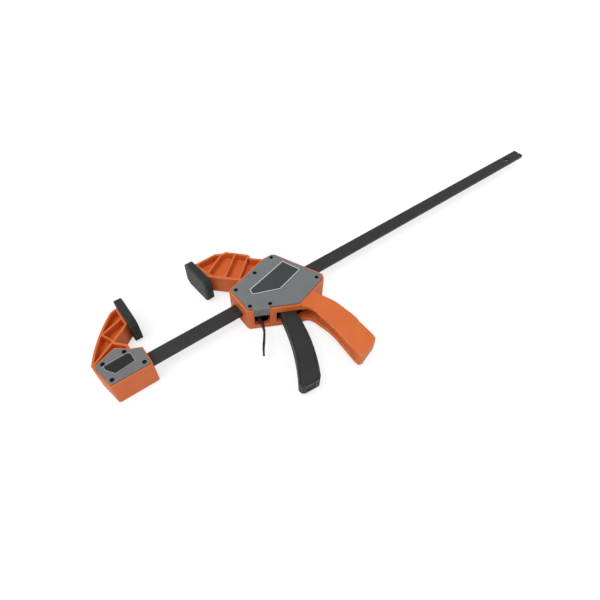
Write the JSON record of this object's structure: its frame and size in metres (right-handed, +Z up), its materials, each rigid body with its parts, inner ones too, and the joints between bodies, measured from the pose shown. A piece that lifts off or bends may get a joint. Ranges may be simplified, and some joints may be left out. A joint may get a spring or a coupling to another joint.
{
  "type": "quick release bar clamp",
  "caption": "Quick release bar clamp lying on its side: flat steel bar, ribbed jaws with rubber pads, sliding head with pistol handle, squeeze trigger and release lever.",
  "frame": {"origin": "middle of the fixed pad's clamping face", "axes": "+X along the bar towards its free end, +Y from the handle towards the jaw tips, +Z up out of the flat side"},
  "size_m": [0.8319, 0.2645, 0.044],
  "materials": {
    "bar_steel": "black oxide on rolled steel, low sheen",
    "bright_steel": "plain ground steel",
    "spring_steel": "drawn spring wire",
    "lever_steel": "blackened pressed steel",
    "orange_nylon": "moulded glass-filled nylon, fine grain",
    "grey_nylon": "moulded nylon, fine grain",
    "charcoal_nylon": "moulded nylon, fine grain",
    "label": "flat label with a pale outline, bare",
    "black_screw": "blackened cross-head screw",
    "pad_rubber": "solid moulded rubber"
  },
  "bodies": {
    "bar_and_fixed_jaw": {"bar": "bar_steel", "fixed_jaw_pins": "bright_steel", "fixed_jaw": "orange_nylon", "fixed_cover_upper": "grey_nylon", "fixed_cover_lower": "grey_nylon", "fixed_cover_screws_upper": "black_screw", "fixed_cover_screws_lower": "black_screw", "fixed_badge_upper": "charcoal_nylon", "fixed_badge_lower": "charcoal_nylon", "fixed_pad": "pad_rubber"},
    "head": {"head_housing": "orange_nylon", "head_cover_upper": "grey_nylon", "head_cover_lower": "grey_nylon", "head_cover_screws_upper": "black_screw", "head_cover_screws_lower": "black_screw", "head_label_upper": "label", "head_label_lower": "label", "moving_pad": "pad_rubber", "front_bar_guide": "bright_steel", "spring_seat": "bright_steel", "trigger_pin": "bright_steel", "drive_spring": "spring_steel", "brake_spring": "spring_steel"},
    "trigger": {"trigger": "charcoal_nylon"},
    "drive_plates": {"drive_plates": "bright_steel"},
    "brake": {"brake_lever": "lever_steel"}
  },
  "joints": [
    {"name": "jaw_slide", "type": "slide", "parent": "bar_and_fixed_jaw", "child": "head", "axis": [1, 0, 0], "range_m": [-0.0955, 0.504]},
    {"name": "trigger_pull", "type": "hinge", "parent": "head", "child": "trigger", "pos_m": [0.178, -0.0545, 0], "axis": [0, 0, 1], "range_deg": [0, 12], "stiffness_Nm_per_rad": 1.2, "springref_deg": -5.73},
    {"name": "plate_drive", "type": "slide", "parent": "head", "child": "drive_plates", "axis": [1, 0, 0], "range_m": [0, 0.0075], "deforming": ["drive_spring"]},
    {"name": "brake_release", "type": "hinge", "parent": "head", "child": "brake", "pos_m": [0.1387, -0.051, 0], "axis": [0, 0, 1], "range_deg": [0, 6], "stiffness_Nm_per_rad": 0.8, "springref_deg": -5.73, "deforming": ["brake_spring"]}
  ],
  "couplings": [
    {"joint": "plate_drive", "follows": "trigger_pull", "m_per_rad": 0.0355}
  ]
}
